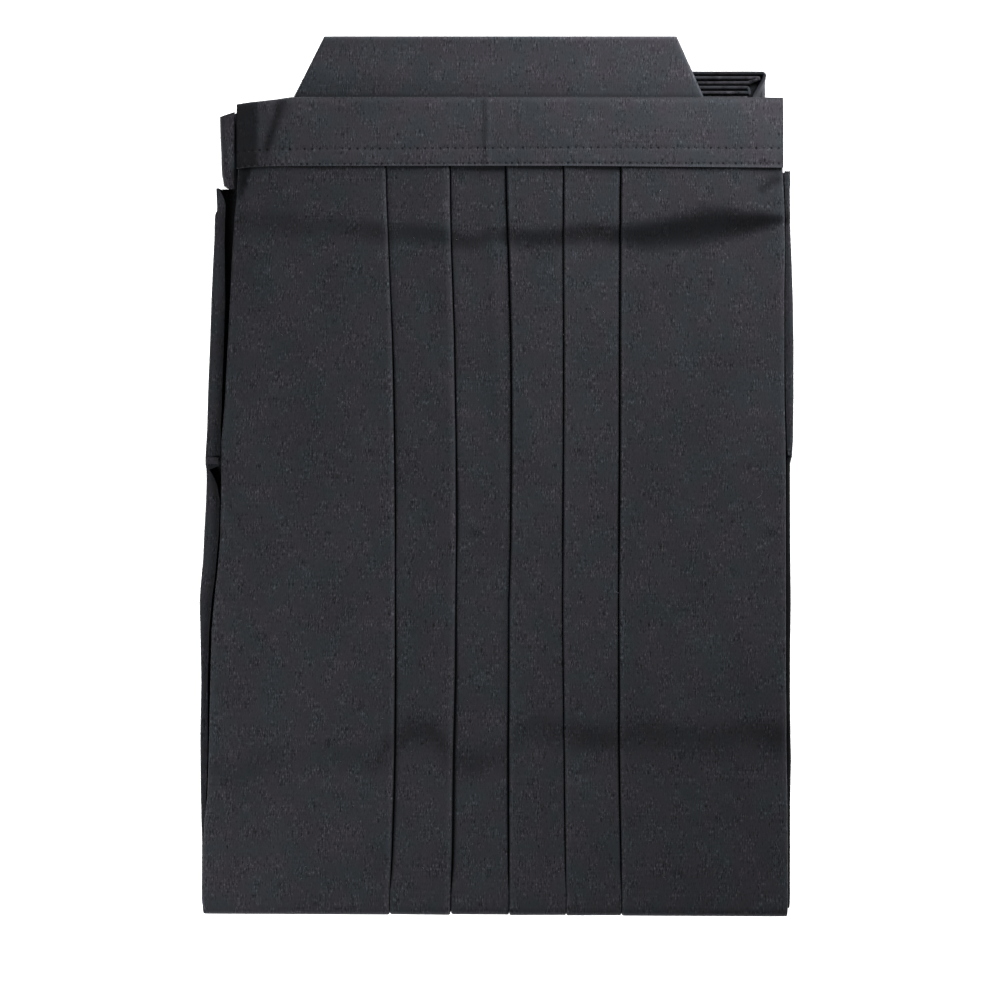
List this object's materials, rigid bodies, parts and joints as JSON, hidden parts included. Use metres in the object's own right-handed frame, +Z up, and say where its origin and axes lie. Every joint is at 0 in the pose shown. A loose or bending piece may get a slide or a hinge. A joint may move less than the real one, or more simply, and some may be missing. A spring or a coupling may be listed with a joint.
{
  "type": "hakama trousers",
  "caption": "Pleated wide-legged wrap trousers of black plain-weave cloth, pressed and folded in half, front up, with stiff back board and ties.",
  "frame": {"origin": "middle of the folded garment's box, on the surface that it lies on", "axes": "+Z up, out of the front of the garment; +Y towards the waist, along the legs; +X towards the wearer's left side"},
  "size_m": [0.317, 0.4702, 0.0275],
  "materials": {
    "front_cloth": "black plain-weave cotton, pressed, slightly slubby and matte",
    "back_cloth": "black plain-weave cotton, turned edges at the side slits",
    "band_cloth": "black plain-weave cotton, doubled, with two rows of stitching along the foot",
    "tie_cloth": "black plain-weave cotton, doubled",
    "board_cloth": "black plain-weave cotton stretched over a stiff board",
    "inner_cloth": "black plain-weave cotton, the hidden layers' cut edges and folds",
    "stop_cloth": "black cotton thread worked over a folded bar of the same cloth"
  },
  "bodies": {
    "root": {"right_front": "front_cloth", "left_front": "front_cloth", "right_back": "back_cloth", "left_back": "back_cloth", "front_band": "band_cloth", "right_tie_end": "tie_cloth", "back_ties": "tie_cloth", "back_board": "board_cloth", "hidden_layers": "inner_cloth", "right_slit_stop": "stop_cloth", "left_slit_stop": "stop_cloth"}
  },
  "joints": []
}
